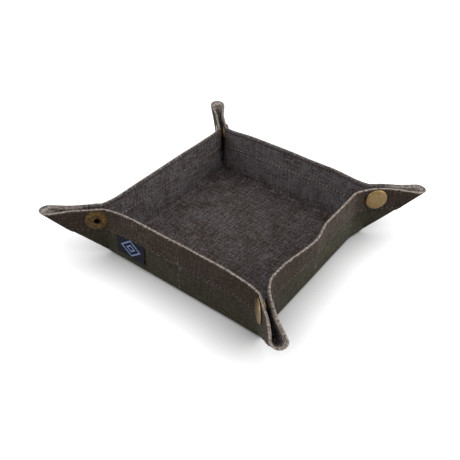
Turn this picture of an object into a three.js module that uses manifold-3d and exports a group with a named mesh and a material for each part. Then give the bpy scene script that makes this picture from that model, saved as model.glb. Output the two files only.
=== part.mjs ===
// A soft utility tray: two layers of waxed canvas, hemmed into one square sheet, whose corners are pinched
// into ears and held by press studs. Millimetres, +Z up, origin at the middle of the underside.
import * as THREE from "three";
import { mergeVertices } from "three/addons/utils/BufferGeometryUtils.js";
import Module from "manifold-3d";

// The sheet
const SHEET_SIDE = 203; // the whole sheet laid flat, rim to rim
const BASE_SIDE = 129; // between the faces of opposite walls
const CANVAS = 0.8; // one layer
const LAYER_GAP = 0.3; // clearance between pieces that lie on each other
const HEM_WIDTH = 16.5; // the lining turned over the rim and down the outside
const BASE_FOLD_RADIUS = 6; // where a wall turns up out of the base
const SEAM = 0.5; // clearance where two panels meet at a fold
const OPEN_SEAM = 0.9; // clearance where the stud flap swings clear of its wall
const TIP_SEAM = 0.8; // clearance where the two halves of an ear meet at its tip
const WALL_BOW = { right: 4, back: -2, left: 0, front: 0 }; // how far a rim's middle leans in

// The ears
const SWEEP_RADIUS = 32; // the wall first sweeps out gently
const SWEEP_ANGLE = THREE.MathUtils.degToRad(14);
const BEND_RADIUS = 9; // then turns sharply along the corner's diagonal
const SNAP_SEAT = 13; // the flat stretch that the snap sits on
const FLARE_RADIUS = 20; // past the snap the two halves spread towards the tip
const FLARE_ANGLE = THREE.MathUtils.degToRad(4.5);
const FLARE_REACH = 15; // length of ear that reaches the full flare
const BEND_SETTLE = 0.6; // how soon above the base the bend and the gap reach their full size
const GAP_SETTLE = 0.5;

// The snaps
const SNAP_SETBACK = 5; // from the end of the bend to the snap's middle
const SNAP_CLEARANCE = 0.3;
const RIM_LIFT = 0.9; // the edges of cap and eyelet stand a little off the canvas
const CAP_RADIUS = 7.7;
const CAP_EDGE = 0.5;
const CAP_CROWN = 1.5;
const POST_RADIUS = 2;
const SOCKET_RADIUS = 6.2;
const SOCKET_HEIGHT = 2.5;
const SOCKET_WEB = 0.8;
const STUD_FLANGE_RADIUS = 6.2;
const STUD_FLANGE = 0.8;
const STUD_KNOB_RADIUS = 3.6;
const STUD_KNOB_HEIGHT = 1.7;
const EYELET_RADIUS = 7.4;
const EYELET_THICKNESS = 0.7;
const BARREL_RADIUS = 2.6;
const BARREL_BORE = 1.9;
const SNAP_SIDES = 14;

// Label and thread
const LABEL_WIDTH = 25;
const LABEL_HEIGHT = 15; // the part that shows below the hem
const LABEL_THICKNESS = 0.4;
const LABEL_INSET = 11.5; // from the base's left corner to its near edge
const THREAD_RADIUS = 0.25;
const THREAD_INSET = 2; // seam above the hem's lower edge

// How finely the curves are cut
const FOLD_STEPS = 3; // up the fold between base and wall
const WALL_STEPS = 3; // along half a wall's straight
const BEND_STEPS = 2; // round the wall's share of a bend
const TIP_STEPS = 3; // round half an ear's tip
const ROLL_STEPS = 4; // over the rim
const DOME_STEPS = 3; // over a cap
const MERGE_DISTANCE = 1e-4;

// What follows from them
const RIM = SHEET_SIDE / 2;
const FOLD_START = BASE_SIDE / 2 - BASE_FOLD_RADIUS;
const FOLD_END = FOLD_START + (BASE_FOLD_RADIUS * Math.PI) / 2;
const RIM_RISE = BASE_FOLD_RADIUS + RIM - FOLD_END;
const INNER_FACE = LAYER_GAP / 2 + CANVAS;
const OUTER_FACE = -INNER_FACE;
const HEM_UNDER = OUTER_FACE - LAYER_GAP;
const HEM_FACE = HEM_UNDER - CANVAS;
const MID_HEIGHT = INNER_FACE;
const RIM_ROLL = (INNER_FACE - HEM_FACE) / 2;
const ROLL_START = RIM - RIM_ROLL;
const HEM_EDGE = RIM - HEM_WIDTH;
const SNAP_OUT = RIM - HEM_WIDTH / 2;
const STACK = SNAP_CLEARANCE + SOCKET_HEIGHT + SNAP_CLEARANCE + STUD_FLANGE + SNAP_CLEARANCE;
const SNAP_HALF_GAP = STACK / 2 + INNER_FACE;
const TIGHT_ANGLE = Math.PI / 4 - SWEEP_ANGLE;
const BEND = [
  { length: SWEEP_RADIUS * SWEEP_ANGLE, turn: -SWEEP_ANGLE },
  { length: BEND_RADIUS * TIGHT_ANGLE, turn: -TIGHT_ANGLE },
];
const BEND_LENGTH = BEND[0].length + BEND[1].length;
const AHEAD = Math.PI / 2;

const wasm = await Module();
wasm.setup();

// Follows a chain of straights and arcs from a start for a distance. A left turn is positive.
function follow(start, runs, distance) {
  let { x, y, heading } = start;
  let left = distance;
  for (const { length, turn } of runs) {
    const step = Math.min(left, length);
    if (step <= 0) continue;
    const bend = (turn * step) / length;
    const chord = bend === 0 ? step : (2 * step * Math.sin(bend / 2)) / bend;
    x += chord * Math.cos(heading + bend / 2);
    y += chord * Math.sin(heading + bend / 2);
    heading += bend;
    left -= step;
  }
  return { x, y, heading };
}

const bendReach = follow({ x: 0, y: 0, heading: AHEAD }, BEND, BEND_LENGTH);
const BEND_SETBACK = bendReach.y - bendReach.x;

// The square contour of the sheet at a distance out from its middle, once the tray is snapped up: how far out
// its wall stands, how high, and the plan of one half of it, from the middle of the wall to the ear's tip.
function contourAt(out) {
  const tilt = THREE.MathUtils.clamp((out - FOLD_START) / BASE_FOLD_RADIUS, 0, Math.PI / 2);
  const wall = Math.min(out, FOLD_START) + BASE_FOLD_RADIUS * Math.sin(tilt);
  const rise = BASE_FOLD_RADIUS * (1 - Math.cos(tilt)) + Math.max(out - FOLD_END, 0);
  const slack = out - wall;
  const size = Math.tanh((BEND_SETTLE * slack) / (BEND_LENGTH - BEND_SETBACK));
  const halfGap = SNAP_HALF_GAP * Math.tanh((GAP_SETTLE * slack) / SNAP_HALF_GAP);
  const bendStart = wall - Math.SQRT2 * halfGap - size * BEND_SETBACK;
  const bendEnd = bendStart + size * BEND_LENGTH;
  const hairpin = (halfGap * Math.PI) / 2;
  const seat = THREE.MathUtils.clamp(out - bendEnd - hairpin, 0, SNAP_SEAT);
  const spare = Math.max(out - bendEnd - seat - hairpin, 0);
  const flare = FLARE_ANGLE * Math.min(spare / FLARE_REACH, 1);
  const tipGap = halfGap + FLARE_RADIUS * (1 - Math.cos(flare));
  const rest = out - bendEnd - seat - FLARE_RADIUS * flare;
  const tipTurn = Math.PI / 2 + flare;
  const tipRadius = (rest * Math.sin(flare) + tipGap) / (Math.cos(flare) + tipTurn * Math.sin(flare));
  const tipLength = tipRadius * tipTurn;
  const runs = [
    { length: bendStart, turn: 0 },
    ...BEND.map(({ length, turn }) => ({ length: length * size, turn })),
    { length: seat, turn: 0 },
    { length: FLARE_RADIUS * flare, turn: -flare },
    { length: rest - tipLength, turn: 0 },
    { length: tipLength, turn: tipTurn },
  ];
  const split = bendEnd - (size * BEND[1].length) / 2;
  return { wall, rise, tilt, runs, bendStart, bendEnd, split, seatEnd: bendEnd + seat, tip: out - tipLength };
}

// A point of the sheet: out from its middle, along its wall, and off its middle surface towards the inside.
function place(out, along, offset, bow) {
  const contour = contourAt(out);
  const distance = Math.abs(along);
  const plan = follow({ x: contour.wall, y: 0, heading: AHEAD }, contour.runs, distance);
  const reach = Math.min(distance / contour.bendStart, 1);
  const lean = bow * (contour.rise / RIM_RISE) * Math.cos((reach * Math.PI) / 2) ** 2;
  const inward = offset * Math.sin(contour.tilt);
  return new THREE.Vector3(
    plan.x - lean - inward * Math.sin(plan.heading),
    (plan.y + inward * Math.cos(plan.heading)) * (Math.sign(along) || 1),
    MID_HEIGHT + contour.rise + offset * Math.cos(contour.tilt),
  );
}

// Distances from one end of a stretch to the other in equal steps, the first end left out.
function steps(from, to, count) {
  return Array.from({ length: count }, (_, i) => from + ((to - from) * (i + 1)) / count);
}

// A wall's stations end at the split in its bend, or low down where they would meet the next wall's inside.
function wallStations(out) {
  const { wall, tilt, bendStart, split } = contourAt(out);
  const end = Math.min(split, wall - INNER_FACE * Math.sin(tilt)) - SEAM / 2;
  const straight = Math.min(bendStart, end - SEAM);
  const half = [...steps(0, straight, WALL_STEPS), ...steps(straight, end, BEND_STEPS)];
  return [...half.map((along) => -along).reverse(), 0, ...half];
}

function flapStations(out, side) {
  const { split, bendEnd, seatEnd, tip } = contourAt(out);
  const clearance = side > 0 ? SEAM / 2 : OPEN_SEAM;
  const half = [split + clearance, bendEnd, seatEnd, tip, ...steps(tip, out - TIP_SEAM / 2, TIP_STEPS)];
  return half.map((along) => side * along);
}

// Turns a geometry's faces round where they point inwards.
function facingOut(geometry) {
  const at = geometry.getAttribute("position");
  const index = geometry.index.array;
  const corner = (i) => new THREE.Vector3().fromBufferAttribute(at, index[i]);
  let volume = 0;
  for (let i = 0; i < index.length; i += 3) volume += corner(i).dot(corner(i + 1).cross(corner(i + 2)));
  if (volume < 0) index.reverse();
  return geometry;
}

// A closed solid: a band between two faces, each a list of [out, offset] points in step with the other's,
// carried along the sheet through a row of stations. Faces are cut along the same diagonal on the way up and
// down, so that layers stay parallel.
function sheetSolid([face, back], stations, bow) {
  const loop = [...face, ...back.toReversed()];
  const rows = loop.map(([out, offset]) => stations(out).map((along) => place(out, along, offset, bow)));
  const last = rows[0].length - 1;
  const index = [];
  const id = (i, j) => (i % loop.length) * rows[0].length + j;
  for (let i = 0; i < loop.length; i++) {
    const rising = loop[(i + 1) % loop.length][0] > loop[i][0];
    for (let j = 0; j < last; j++) {
      const [a, b, c, d] = [id(i, j), id(i + 1, j), id(i + 1, j + 1), id(i, j + 1)];
      index.push(...(rising ? [a, b, c, a, c, d] : [a, b, d, b, c, d]));
    }
  }
  for (let k = 0; k + 1 < face.length; k++) {
    const end = (j) => [k, k + 1, loop.length - 2 - k, loop.length - 1 - k].map((i) => id(i, j));
    const [a, b, c, d] = end(last);
    const [e, f, g, h] = end(0);
    index.push(a, b, c, a, c, d, e, g, f, e, h, g);
  }
  const geometry = new THREE.BufferGeometry().setFromPoints(rows.flat());
  return facingOut(geometry.setIndex(index));
}

// The half circle that the lining makes over the rim, from the inside to the outside.
function rimRoll(radius) {
  const middle = INNER_FACE - RIM_ROLL;
  return [0, ...steps(0, Math.PI, ROLL_STEPS)].map((angle) => [
    ROLL_START + radius * Math.sin(angle),
    middle + radius * Math.cos(angle),
  ]);
}

// The lining's band: up the inside, over the rim and down the outside as the hem.
function liningBand(rows) {
  const band = (offset, radius, hem) => [
    ...rows.map((out) => [out, offset]),
    ...rimRoll(radius),
    [HEM_EDGE, hem],
  ];
  return [band(INNER_FACE, RIM_ROLL, HEM_FACE), band(LAYER_GAP / 2, RIM_ROLL - CANVAS, HEM_UNDER)];
}

// The outer canvas's band, which ends inside the rolled rim.
function outerBand(rows) {
  return [-LAYER_GAP / 2, OUTER_FACE].map((offset) => [...rows, ROLL_START].map((out) => [out, offset]));
}

const flapRows = [FOLD_END, (FOLD_END + HEM_EDGE) / 2, HEM_EDGE];
const wallRows = [FOLD_START + SEAM / 2, ...steps(FOLD_START, FOLD_END, FOLD_STEPS), ...flapRows.slice(1)];

const OLIVE = { color: 0x34352a, roughness: 0.85, metalness: 0 };
const BROWN = { color: 0x3d3430, roughness: 0.85, metalness: 0 };
const THREAD = { color: 0xb3a287, roughness: 0.8, metalness: 0 };
const NAVY = { color: 0x191d2b, roughness: 0.9, metalness: 0 };
const BRASS = { color: 0x96805a, roughness: 0.4, metalness: 1 };
const DARK_BRASS = { color: 0x5a4420, roughness: 0.5, metalness: 1 };

function part(name, geometry, finish) {
  const mesh = new THREE.Mesh(geometry, new THREE.MeshStandardMaterial(finish));
  mesh.name = name;
  return mesh;
}

function solidOf(geometry) {
  const bare = new THREE.BufferGeometry().setAttribute("position", geometry.getAttribute("position"));
  if (geometry.index) bare.setIndex(geometry.index);
  const merged = mergeVertices(bare, MERGE_DISTANCE);
  return new wasm.Manifold(
    new wasm.Mesh({
      numProp: 3,
      vertProperties: merged.getAttribute("position").array,
      triVerts: new Uint32Array(merged.index.array),
    }),
  );
}

function geometryOf(solid) {
  const { vertProperties, triVerts } = solid.getMesh();
  const geometry = new THREE.BufferGeometry();
  geometry.setAttribute("position", new THREE.BufferAttribute(vertProperties, 3));
  return geometry.setIndex(new THREE.BufferAttribute(triVerts, 1));
}

// Where a flap's snap sits: a frame on the sheet's middle surface with +Y pointing out of the ear.
function snapFrame(side) {
  const along = side * (contourAt(SNAP_OUT).bendEnd + SNAP_SETBACK);
  const frame = new THREE.Group();
  frame.position.copy(place(SNAP_OUT, along, 0, 0));
  const outward = place(SNAP_OUT, along, -1, 0).sub(frame.position);
  frame.quaternion.setFromUnitVectors(new THREE.Vector3(0, 1, 0), outward.normalize());
  frame.updateMatrix();
  return frame;
}

// A flap layer with the hole that its snap is set through.
function pierced(geometry, side, radius) {
  const reach = SNAP_HALF_GAP - HEM_FACE;
  const punch = new THREE.CylinderGeometry(radius, radius, 2 * reach, SNAP_SIDES);
  punch.applyMatrix4(snapFrame(side).matrix);
  return geometryOf(solidOf(geometry).subtract(solidOf(punch)));
}

function turned(profile) {
  const points = profile.map(([radius, height]) => new THREE.Vector2(radius, height));
  const lathe = new THREE.LatheGeometry(points, SNAP_SIDES);
  return facingOut(lathe);
}

const seatFace = -HEM_FACE + SNAP_CLEARANCE;
const innerSeat = -INNER_FACE - SNAP_CLEARANCE;
const postEnd = innerSeat - SOCKET_WEB + SNAP_CLEARANCE;
const stemEnd = innerSeat - STUD_FLANGE - STUD_KNOB_HEIGHT / 2;

function capGeometry() {
  const edge = seatFace + RIM_LIFT + CAP_EDGE;
  const dome = [0, ...steps(0, Math.PI / 2, DOME_STEPS)].map((angle) => [
    CAP_RADIUS * Math.cos(angle),
    edge + CAP_CROWN * Math.sin(angle),
  ]);
  dome[dome.length - 1][0] = 0;
  return turned([[0, postEnd], [POST_RADIUS, postEnd], [POST_RADIUS, seatFace],
    [CAP_RADIUS, seatFace + RIM_LIFT], ...dome]);
}

function socketGeometry() {
  const hole = POST_RADIUS + SNAP_CLEARANCE;
  const bore = STUD_KNOB_RADIUS + SNAP_CLEARANCE;
  const web = innerSeat - SOCKET_WEB;
  const foot = innerSeat - SOCKET_HEIGHT;
  return turned([[hole, innerSeat], [SOCKET_RADIUS, innerSeat], [SOCKET_RADIUS, foot], [bore, foot],
    [bore, web], [hole, web], [hole, innerSeat]]);
}

function studGeometry() {
  const bore = BARREL_RADIUS + SNAP_CLEARANCE;
  const flange = innerSeat - STUD_FLANGE;
  const knob = flange - STUD_KNOB_HEIGHT;
  return turned([[bore, innerSeat], [STUD_FLANGE_RADIUS, innerSeat], [STUD_FLANGE_RADIUS, flange],
    [STUD_KNOB_RADIUS, flange], [STUD_KNOB_RADIUS, knob], [bore, knob], [bore, innerSeat]]);
}

function eyeletGeometry() {
  const edge = seatFace + RIM_LIFT;
  return turned([[BARREL_BORE, stemEnd], [BARREL_RADIUS, stemEnd], [BARREL_RADIUS, seatFace],
    [EYELET_RADIUS, edge], [EYELET_RADIUS, edge + EYELET_THICKNESS / 2],
    [BARREL_RADIUS, edge + EYELET_THICKNESS], [BARREL_BORE, edge], [BARREL_BORE, stemEnd]]);
}

// A thread that lies on the hem along a panel's stations.
function threadGeometry(stations, bow) {
  const out = HEM_EDGE + THREAD_INSET;
  const middle = HEM_FACE - LAYER_GAP - THREAD_RADIUS;
  const low = [[out - THREAD_RADIUS, middle], [out, middle - THREAD_RADIUS]];
  const high = [[out, middle + THREAD_RADIUS], [out + THREAD_RADIUS, middle]];
  return sheetSolid([low, high], stations, bow);
}

// The label hangs from under the front wall's hem, near the left corner.
function labelGeometry() {
  const face = OUTER_FACE - LAYER_GAP;
  const top = HEM_EDGE - LAYER_GAP;
  const foot = top - LABEL_HEIGHT;
  const rows = [foot, ...wallRows.filter((out) => out > foot && out < top), top];
  const band = [face, face - LABEL_THICKNESS].map((offset) => rows.map((out) => [out, offset]));
  const near = LABEL_INSET - BASE_SIDE / 2;
  return sheetSolid(band, () => [near, near + LABEL_WIDTH], WALL_BOW.front);
}

function base() {
  const group = new THREE.Group();
  const side = 2 * FOLD_START - SEAM;
  const layer = () => new THREE.BoxGeometry(side, side, CANVAS);
  const outer = part("outer_base", layer(), OLIVE);
  outer.position.z = CANVAS / 2;
  const lining = part("lining_base", layer(), BROWN);
  lining.position.z = CANVAS + LAYER_GAP + CANVAS / 2;
  group.add(outer, lining);
  return group;
}

function wall(name) {
  const bow = WALL_BOW[name];
  const group = new THREE.Group();
  group.add(part(`outer_${name}_wall`, sheetSolid(outerBand(wallRows), wallStations, bow), OLIVE));
  group.add(part(`lining_${name}_wall`, sheetSolid(liningBand(wallRows), wallStations, bow), BROWN));
  group.add(part(`hem_thread_${name}_wall`, threadGeometry(wallStations, bow), THREAD));
  if (name === "front") group.add(part("woven_label", labelGeometry(), NAVY));
  return group;
}

// One half of an ear: side 1 is a wall's cap end, side -1 its stud end.
function flap(corner, side) {
  const kind = side > 0 ? "cap" : "stud";
  const hole = (side > 0 ? POST_RADIUS : BARREL_RADIUS) + SNAP_CLEARANCE;
  const stations = (out) => flapStations(out, side);
  const group = new THREE.Group();
  const outer = sheetSolid(outerBand(flapRows), stations, 0);
  const lining = sheetSolid(liningBand(flapRows), stations, 0);
  group.add(part(`outer_${corner}_${kind}_flap`, pierced(outer, side, hole), OLIVE));
  group.add(part(`lining_${corner}_${kind}_flap`, pierced(lining, side, hole), BROWN));
  group.add(part(`hem_thread_${corner}_${kind}_flap`, threadGeometry(stations, 0), THREAD));
  const snap = snapFrame(side);
  if (side > 0) {
    snap.add(part(`cap_${corner}`, capGeometry(), BRASS));
    snap.add(part(`socket_${corner}`, socketGeometry(), BRASS));
  } else {
    snap.add(part(`eyelet_${corner}`, eyeletGeometry(), DARK_BRASS));
    snap.add(part(`stud_${corner}`, studGeometry(), DARK_BRASS));
  }
  group.add(snap);
  return group;
}

// Each wall is made on the +X side and turned into place, with the ear halves at its two ends.
const WALLS = ["right", "back", "left", "front"];
const CORNERS = ["back_right", "back_left", "front_left", "front_right"];

const tray = new THREE.Group();
tray.add(base());
WALLS.forEach((name, turn) => {
  const side = new THREE.Group();
  side.rotation.z = (turn * Math.PI) / 2;
  side.add(wall(name), flap(CORNERS[turn], 1), flap(CORNERS[(turn + 3) % 4], -1));
  tray.add(side);
});

export default tray;
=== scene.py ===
import math
from collections import namedtuple

import bmesh
import bpy
from mathutils import Matrix, Vector, noise


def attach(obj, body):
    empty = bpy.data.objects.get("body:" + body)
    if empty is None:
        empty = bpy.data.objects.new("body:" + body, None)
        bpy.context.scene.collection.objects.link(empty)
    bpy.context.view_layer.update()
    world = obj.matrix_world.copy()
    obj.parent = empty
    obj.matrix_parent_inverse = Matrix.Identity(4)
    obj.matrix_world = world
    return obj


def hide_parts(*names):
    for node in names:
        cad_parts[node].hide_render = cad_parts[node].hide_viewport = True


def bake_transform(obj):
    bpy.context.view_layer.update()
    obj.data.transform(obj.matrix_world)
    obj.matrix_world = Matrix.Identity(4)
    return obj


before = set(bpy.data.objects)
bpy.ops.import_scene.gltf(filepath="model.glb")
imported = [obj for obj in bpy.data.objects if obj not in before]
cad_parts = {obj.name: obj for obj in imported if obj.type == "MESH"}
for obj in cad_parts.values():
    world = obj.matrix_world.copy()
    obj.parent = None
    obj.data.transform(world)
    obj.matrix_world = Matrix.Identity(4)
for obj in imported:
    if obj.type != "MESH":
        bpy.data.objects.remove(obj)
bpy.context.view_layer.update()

bl_info = {
    "name": "Snap-corner canvas tray",
    "version": (1, 0, 0),
    "blender": (4, 5, 0),
    "location": "View3D > Sidebar > Tray",
    "description": "Dresses the tray's solids in waxed canvas, thread and brass, on a pale floor",
    "category": "Object",
}

MM = 0.001
QUARTER = math.pi / 2
WALLS = ("right", "back", "left", "front")
CORNERS = ("back_right", "back_left", "front_left", "front_right")
FRONT = WALLS.index("front")
IMAGE_SIZE = 460
SENSOR = 36.0
TINY = 1e-6


# Properties


def length(name, millimetres, description):
    """A size in metres, its default given in millimetres."""
    return bpy.props.FloatProperty(
        name=name, description=description, default=millimetres * MM, precision=5, unit="LENGTH"
    )


def angle(name, degrees, description):
    """An angle, its default given in degrees."""
    return bpy.props.FloatProperty(
        name=name, description=description, default=math.radians(degrees), subtype="ANGLE"
    )


def angles(name, degrees, description):
    """An angle for each wall, the defaults given in degrees."""
    return bpy.props.FloatVectorProperty(
        name=name, description=description, default=[math.radians(d) for d in degrees], size=len(degrees),
        unit="ROTATION",
    )


def shares(name, values, description):
    """A bare factor for each wall."""
    return bpy.props.FloatVectorProperty(
        name=name, description=description, default=values, size=len(values)
    )


def share(name, value, description):
    """A bare factor."""
    return bpy.props.FloatProperty(name=name, description=description, default=value, subtype="FACTOR")


def shift(name, millimetres, description):
    """A move in metres, its default given in millimetres."""
    return bpy.props.FloatVectorProperty(
        name=name,
        description=description,
        default=[value * MM for value in millimetres],
        size=len(millimetres),
        subtype="TRANSLATION" if len(millimetres) == 3 else "NONE",
        unit="LENGTH",
    )


def linear(channel):
    """One channel of a screen colour, 0 to 255, as light."""
    level = channel / 255
    return level / 12.92 if level <= 0.04045 else ((level + 0.055) / 1.055) ** 2.4


def colour(name, screen, description):
    """A colour, its default given as screen values from 0 to 255."""
    return bpy.props.FloatVectorProperty(
        name=name, description=description, default=[linear(c) for c in screen], size=3, min=0, max=1,
        subtype="COLOR",
    )


def watts(name, power, description):
    """A lamp's power."""
    return bpy.props.FloatProperty(name=name, description=description, default=power, unit="POWER")


class TraySheet(bpy.types.PropertyGroup):
    """The square sheet and how it is folded up."""

    side: length("Sheet side", 203, "The whole sheet laid flat, rim to rim")
    base: length("Base side", 129, "Between the faces of opposite walls")
    hem: length("Hem width", 17.5, "Lining turned over the rim and down the outside")
    cloth: length("Cloth", 0.55, "Thickness of one layer of canvas")
    layer_gap: length("Layer gap", 0.11, "Air between layers that lie on each other")
    fold_room: length("Fold room", 6, "Room that a wall takes to turn up out of the base")
    fold_radius: length("Fold radius", 2.8, "How sharply the canvas creases there")
    sweep_radius: length("Sweep radius", 44, "A wall first sweeps out gently")
    cap_sweeps: angles("Cap sweeps", (15, 13, 15, 14), "Its turn at the cap ends: right, back, left, front")
    stud_sweeps: angles("Stud sweeps", (9, 15, 13, 13), "The same at the stud ends, in that order")
    bend_radius: length("Bend radius", 11, "Then it turns sharply along the diagonal")
    half_gap: length("Half gap", 2.2, "From an ear's middle to its cloth at the snap")
    hinge_gap: length("Hinge gap", 3.05, "The same at the hinge that splits an ear from its next wall")
    seat: length("Snap seat", 13, "The flat stretch that the snap sits on")
    flare_radius: length("Flare radius", 18, "Past the snap the halves spread to the tip")
    flares: angles("Flares", (10, 14, 11.5, 9.5), "Back right, back left, front left, front right")
    flare_reach: length("Flare reach", 15, "Length of ear that spreads fully")
    hinge_reach: length("Hinge reach", 5, "Canvas on either side of a hinge that turns with it")
    bend_settle: share("Bend settle", 0.6, "How soon above the base the bend is full")
    gap_settle: share("Gap settle", 0.5, "How soon above the base the gap is full")
    leans: shift("Rim leans", (4.6, -0.8, 0, 0.8), "How far in each rim leans: right, back, left, front")
    rises: shift("Rim rises", (0, 2, 0.3, 1.8), "How far up each rim bows: right, back, left, front")
    feet: shift("Foot bows", (2.8, 0, 0, 0.2), "How far in each wall's foot bows, in that order")
    # These fades also paint shading: the base and the ears' outsides are kept darker as painted shade, and
    # the amounts per wall and wall end paint lighter and darker walls.
    base_fade_and_shading: share("Base rub", 0.8, "Wax rubbed off the base inside")
    inside_fades_and_shading: shares("Inside rubs", (1, 1.2, 1, 1), "Wax rubbed off inside: right, back, left, front")
    cap_fades_and_shading: shares("Cap rubs", (0.85, 0.3, 0.3, 0), "Wax rubbed off outside at the cap ends")
    stud_fades_and_shading: shares("Stud rubs", (0.2, 0.3, 0.3, 0.5), "Wax rubbed off outside at the stud ends")
    straights: shares("Straight shares", (0.75, 0.5, 0.5, 0.5), "Share of each wall that leans fully")
    sags: shift("Rim sags", (3.5, 0, 0, 0), "How far out each rim sags again short of its middle")
    ripple: length("Ripple", 0.5, "How far the canvas strays from its smooth shape")
    ripple_size: length("Ripple size", 22, "Length of those ripples")
    pale_reach: length("Fray", 8, "How far down inside an ear its worn edge reaches")
    fuzz: length("Fuzz", 0.14, "How rough the worn edges are")
    fuzz_size: length("Fuzz size", 2.4, "Length of that roughness")
    hang_back_right: shift("Back right hang", (4, 4, -5), "How the ear's tip hangs")
    hang_back_left: shift("Back left hang", (-3.7, 3.7, 2.5), "How the ear's tip hangs")
    hang_front_left: shift("Front left hang", (-3.5, -3.5, 0.5), "How the ear's tip hangs")
    hang_front_right: shift("Front right hang", (3.1, -1.3, -1.8), "How the ear's tip hangs")


class TrayTrim(bpy.types.PropertyGroup):
    """Stitches, snaps and label."""

    hem_seam: length("Hem seam", 2, "From the hem's lower edge up to its row of stitches")
    edge_seam: length("Edge seam", 2.6, "From the rim down to the row inside it")
    stitch_pitch: length("Stitch pitch", 3, "From one stitch to the next")
    stitch: length("Stitch", 2.3, "Length of a stitch")
    thread_radius: length("Thread radius", 0.3, "Half the width of the thread that shows inside")
    sunk_radius: length("Sunk radius", 0.24, "Half of what shows where the thread is sunk in the canvas")
    snap_reach: length("Snap reach", 96, "From the tray's middle to a snap, along the diagonal")
    press_reach: length("Press reach", 5, "Radius of the canvas that a snap presses flat")
    press_fade: length("Press fade", 7, "Over which the canvas comes back to its own shape")
    cap_radius: length("Cap radius", 8, "Half the cap's width")
    cap_lift: length("Cap lift", 0.3, "From the hem to the cap's edge")
    cap_edge: length("Cap edge", 0.7, "Height of the cap's rolled edge")
    cap_crown: length("Cap crown", 1.3, "Rise of the cap above its edge")
    eyelet_radius: length("Eyelet radius", 7.7, "Half the eyelet's width")
    eyelet_bore: length("Eyelet bore", 1.9, "Half the eyelet's hole")
    socket_radius: length("Socket radius", 6.2, "Half the socket's width")
    socket_height: length("Socket height", 1.25, "How far the socket stands in the ear")
    stud_flange: length("Stud flange", 0.7, "How far the stud's flange stands in the ear")
    knob_radius: length("Knob radius", 3.6, "Half the stud's knob")
    knob_height: length("Knob height", 1.5, "How far the knob stands off its flange")
    label_width: length("Label width", 25, "Along the wall")
    label_height: length("Label height", 15, "What shows below the hem")
    label_inset: length("Label inset", 10.5, "From the base's left corner to the label")
    label_cloth: length("Label cloth", 0.35, "Thickness of the label")
    label_curl: length("Label curl", 0.9, "How far its free end stands off the wall")
    lozenge_height: length("Lozenge height", 12, "Height of the outer woven lozenge")
    lozenge_slope: share("Lozenge slope", 0.72, "Height of a lozenge for its width")
    lozenge_line: length("Lozenge line", 0.9, "Width of a woven line")


class TrayFinish(bpy.types.PropertyGroup):
    """Colours and weave."""

    lining: colour("Lining", (66, 55, 48), "Inside and hem canvas")
    lining_pale: colour("Faded lining", (107, 103, 106), "Where the wax has gone from the lining")
    hem_pale: colour("Faded hem", (104, 96, 86), "Where the wax has gone from the hem")
    outer: colour("Outer canvas", (63, 60, 48), "Outside canvas")
    outer_pale: colour("Faded outer", (85, 87, 69), "Where the wax has gone from the outside")
    worn: colour("Worn edge", (186, 174, 166), "Rubbed canvas along the rim")
    thread: colour("Thread", (166, 155, 142), "Stitches inside")
    sunk_thread: colour("Sunk thread", (96, 83, 74), "Stitches sunk in the hem and the rim")
    label: colour("Label", (19, 22, 34), "Woven label")
    label_mark: colour("Label mark", (150, 172, 220), "Woven border on the label")
    cap: colour("Cap brass", (122, 102, 70), "Antique brass of caps and sockets")
    eyelet: colour("Eyelet brass", (84, 69, 44), "Darker brass of eyelets and studs")
    patina: colour("Patina", (52, 38, 22), "Dark patina on the brass")
    floor: colour("Floor", (242, 242, 242), "Floor under the tray")
    floor_bounce: colour("Floor bounce", (150, 150, 150), "Light that the floor throws back up")
    yarn: length("Yarn", 0.7, "From one yarn to the next")


class TrayStage(bpy.types.PropertyGroup):
    """Camera and light, placed as in the photograph."""

    azimuth: angle("Azimuth", 35.31, "Camera's turn round the tray, from the front")
    elevation: angle("Elevation", 39.32, "Camera's height above the horizon")
    roll: angle("Roll", 1.67, "Camera's turn about its own axis")
    distance: length("Distance", 421.58, "From the camera to its target")
    target_height: length("Target height", 15, "Height of the point that the camera is aimed at")
    lens: bpy.props.FloatProperty(
        name="Lens", description="Focal length in millimetres", default=46.957, unit="CAMERA"
    )
    centre: bpy.props.FloatVectorProperty(
        name="Optical centre", description="Pixel that the camera's axis goes through",
        default=(239.49, 224.72), size=2,
    )
    lamp_side: length("Lamp side", 850, "Side of the square lamp overhead")
    lamp_height: length("Lamp height", 850, "Height of that lamp")
    lamp_power: watts("Lamp power", 3.2, "Strength of that lamp")
    fill_side: length("Fill side", 700, "Side of the two square lamps beside the tray")
    right_place: shift("Right place", (700, 300, 420), "Where the lamp to the right stands")
    right_power: watts("Right power", 6, "Strength of that lamp")
    front_place: shift("Front place", (-300, -700, 420), "Where the lamp in front stands")
    front_power: watts("Front power", 3.6, "Strength of that lamp")
    sky: share("Sky", 0.25, "Light from all round")
    floor_side: length("Floor side", 6000, "Side of the floor")
    floor_glow: share("Floor glow", 0.43, "What lifts the bare floor to white in the picture")
    glow_from: length("Glow from", 250, "Distance at which that starts to grow")
    glow_to: length("Glow to", 1200, "Distance at which the floor shows white by itself")
    contact_reach: length("Contact reach", 40, "How far the shade close to the tray reaches")
    contact_depth: bpy.props.FloatProperty(
        name="Contact depth", description="How deep the shade close to the tray is", default=1.05
    )


# The folded sheet

Run = namedtuple("Run", "length turn")
Bend = namedtuple("Bend", "runs length aside ahead")
Arm = namedtuple("Arm", "size start end diagonal")
Contour = namedtuple("Contour", "wall rise tilt runs arm stretch split seat_end tip")
Station = namedtuple("Station", "quarter along")
Row = namedtuple("Row", "out offset flat wear")


def spaced(start, end, count):
    """Equal steps from start towards end, the end left out."""
    return [start + (end - start) * i / count for i in range(count)]


def clamp(value, low, high):
    return max(low, min(high, value))


def ease(value):
    """A smooth step from 0 to 1."""
    value = clamp(value, 0, 1)
    return value * value * (3 - 2 * value)


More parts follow.
